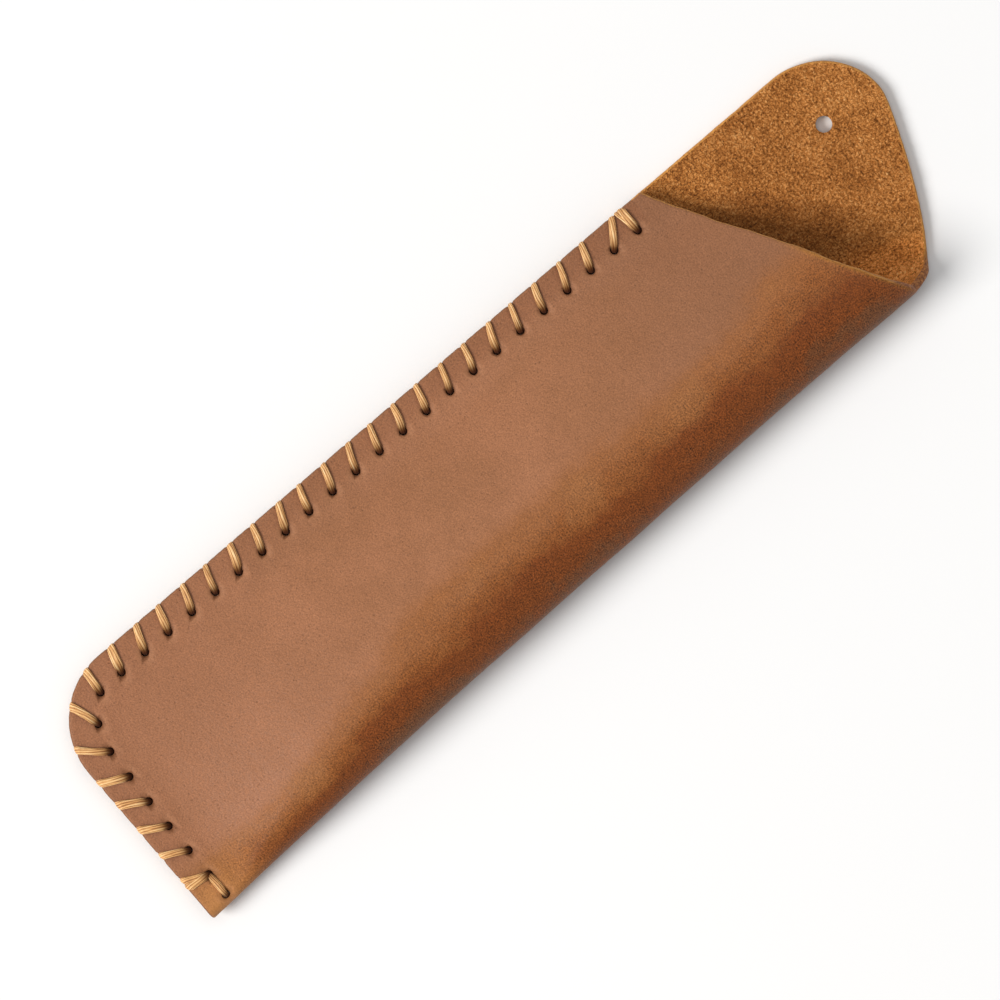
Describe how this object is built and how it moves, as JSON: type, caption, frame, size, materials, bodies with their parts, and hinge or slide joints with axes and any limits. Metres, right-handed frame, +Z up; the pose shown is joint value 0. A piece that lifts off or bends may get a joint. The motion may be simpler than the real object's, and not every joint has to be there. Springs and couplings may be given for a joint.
{
  "type": "fountain pen case",
  "caption": "Folded leather sleeve for one fountain pen, whip-stitched along two edges, with a slanted mouth and a fold-over flap tongue with a punched hanging hole.",
  "frame": {"origin": "centre of the case's outline in plan, on the plane its back panel rests on", "axes": "+Y along the case from the stitched bottom end to the flap tip, +X from the stitched long edge to the fold, +Z up from the back panel through the front panel"},
  "size_m": [0.0472, 0.176, 0.0132],
  "materials": {
    "leather_grain": "matte waxed pull-up grain",
    "leather_suede": "suede flesh side",
    "waxed_thread": "waxed flat cord"
  },
  "bodies": {
    "case_body": {"sleeve": "leather_grain", "stitching_thread": "waxed_thread"},
    "flap_root": {"flap_neck": "leather_suede"},
    "flap_tip": {"flap_tongue": "leather_suede"}
  },
  "joints": [
    {"name": "root_crease", "type": "hinge", "parent": "case_body", "child": "flap_root", "pos_m": [-0.00447, 0.06215, 0.00075], "axis": [0.8111, 0.5849, 0], "range_deg": [-20, 80]},
    {"name": "tip_crease", "type": "hinge", "parent": "flap_root", "child": "flap_tip", "pos_m": [-0.0112, 0.07147, 0.00075], "axis": [0.8111, 0.5849, 0], "range_deg": [-20, 80]}
  ],
  "couplings": [
    {"joint": "tip_crease", "follows": "root_crease", "ratio": 1}
  ]
}
